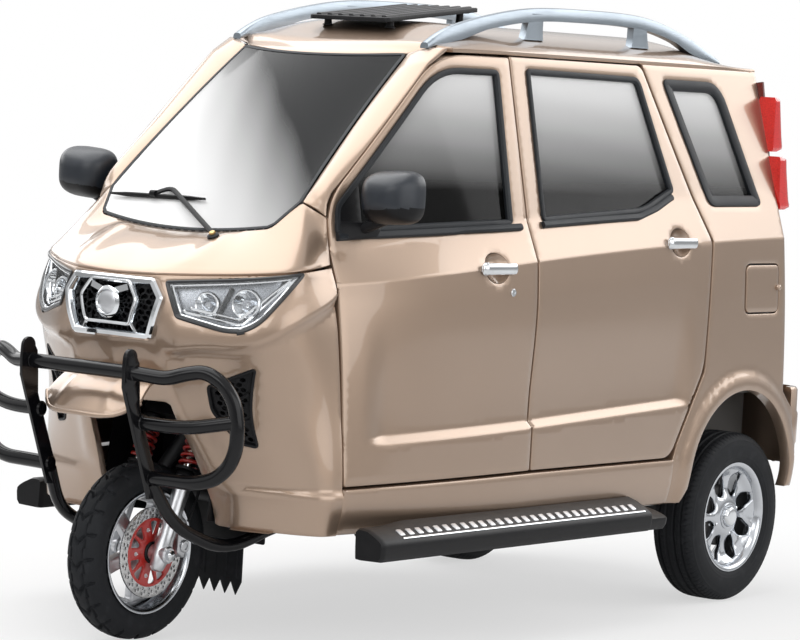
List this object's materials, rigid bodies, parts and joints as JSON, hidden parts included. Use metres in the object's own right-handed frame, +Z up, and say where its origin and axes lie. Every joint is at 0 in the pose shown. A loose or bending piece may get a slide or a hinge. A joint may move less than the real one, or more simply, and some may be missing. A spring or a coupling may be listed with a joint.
{
  "type": "auto rickshaw",
  "caption": "Enclosed three-wheeled passenger rickshaw with a steered front wheel, hinged side doors, tailgate, bull bar, running boards and roof rails.",
  "frame": {"origin": "on the ground under the middle of the vehicle's length and width", "axes": "+Z up, +Y towards the rear, +X towards the vehicle's left side"},
  "size_m": [1.292, 2.77, 1.7399],
  "materials": {
    "body_paint": "metallic gloss",
    "frame_paint": "satin",
    "bar_paint": "gloss",
    "floor_metal": "matte",
    "tinted_glass": "polished",
    "lamp_lens": "polished",
    "bright_trim": "polished",
    "black_plastic": "matte",
    "rail_alloy": "satin",
    "red_lens": "gloss",
    "axle_iron": "matte",
    "spring_steel": "satin",
    "seat_cover": "matte",
    "fork_alloy": "satin",
    "tyre_rubber": "matte",
    "wheel_alloy": "satin",
    "disc_steel": "brushed",
    "flap_rubber": "matte"
  },
  "bodies": {
    "chassis": {"chassis_frame": "frame_paint", "floor_pan": "floor_metal", "nose_shell": "body_paint", "hood": "body_paint", "windscreen": "tinted_glass", "a_pillars": "body_paint", "roof_shell": "body_paint", "b_posts": "body_paint", "sills": "body_paint", "quarter_left": "body_paint", "quarter_right": "body_paint", "quarter_glass": "tinted_glass", "rear_shell": "body_paint", "rear_bumper": "body_paint", "headlamps": "lamp_lens", "grille": "bright_trim", "front_beak": "body_paint", "side_vents": "black_plastic", "bull_bar": "bar_paint", "running_boards": "black_plastic", "roof_rails": "rail_alloy", "roof_hatch": "black_plastic", "tail_lamps": "red_lens", "rear_guard": "bar_paint", "rear_axle": "axle_iron", "leaf_springs": "spring_steel", "engine": "axle_iron", "driver_seat": "seat_cover", "passenger_bench": "seat_cover", "dashboard": "black_plastic", "wiper": "black_plastic", "mud_flap": "flap_rubber"},
    "steering": {"fork": "fork_alloy", "handlebar": "black_plastic"},
    "front_wheel": {"front_tyre": "tyre_rubber", "front_rim": "wheel_alloy", "brake_disc": "disc_steel"},
    "rear_wheel_left": {"rear_tyre_left": "tyre_rubber", "rear_rim_left": "wheel_alloy"},
    "rear_wheel_right": {"rear_tyre_right": "tyre_rubber", "rear_rim_right": "wheel_alloy"},
    "door_fl": {"door_front_left": "body_paint", "glass_front_left": "tinted_glass", "handle_front_left": "bright_trim", "mirror_left": "black_plastic"},
    "door_fr": {"door_front_right": "body_paint", "glass_front_right": "tinted_glass", "handle_front_right": "bright_trim", "mirror_right": "black_plastic"},
    "door_rl": {"door_rear_left": "body_paint", "glass_rear_left": "tinted_glass", "handle_rear_left": "bright_trim"},
    "door_rr": {"door_rear_right": "body_paint", "glass_rear_right": "tinted_glass", "handle_rear_right": "bright_trim"},
    "gate": {"tailgate": "body_paint", "tailgate_glass": "tinted_glass"},
    "filler_lid": {"fuel_flap": "body_paint"}
  },
  "joints": [
    {"name": "steering_turn", "type": "hinge", "parent": "chassis", "child": "steering", "pos_m": [0, -1.05791, 0.22002], "axis": [0, 0.3746, 0.9272], "range_deg": [-28, 28]},
    {"name": "front_wheel_spin", "type": "hinge", "parent": "steering", "child": "front_wheel", "pos_m": [0, -1.095, 0.235], "axis": [1, 0, 0], "continuous": true},
    {"name": "rear_left_spin", "type": "hinge", "parent": "chassis", "child": "rear_wheel_left", "pos_m": [0.47, 0.995, 0.254], "axis": [1, 0, 0], "continuous": true},
    {"name": "rear_right_spin", "type": "hinge", "parent": "chassis", "child": "rear_wheel_right", "pos_m": [-0.47, 0.995, 0.254], "axis": [1, 0, 0], "continuous": true},
    {"name": "front_left_door", "type": "hinge", "parent": "chassis", "child": "door_fl", "pos_m": [0.505, -0.872, 0.445], "axis": [0.0958, 0, -0.9954], "range_deg": [0, 65]},
    {"name": "front_right_door", "type": "hinge", "parent": "chassis", "child": "door_fr", "pos_m": [-0.505, -0.872, 0.445], "axis": [0.0958, 0, 0.9954], "range_deg": [0, 65]},
    {"name": "rear_left_door", "type": "hinge", "parent": "chassis", "child": "door_rl", "pos_m": [0.56, -0.1175, 0.456], "axis": [0, 0, -1], "range_deg": [0, 65]},
    {"name": "rear_right_door", "type": "hinge", "parent": "chassis", "child": "door_rr", "pos_m": [-0.56, -0.1175, 0.456], "axis": [0, 0, 1], "range_deg": [0, 65]},
    {"name": "tailgate_lift", "type": "hinge", "parent": "chassis", "child": "gate", "pos_m": [0, 1.169, 1.562], "axis": [1, 0, 0], "range_deg": [0, 75]},
    {"name": "fuel_flap_swing", "type": "hinge", "parent": "chassis", "child": "filler_lid", "pos_m": [0.566, 0.949, 0.943], "axis": [0, 0, -1], "range_deg": [0, 95]}
  ]
}
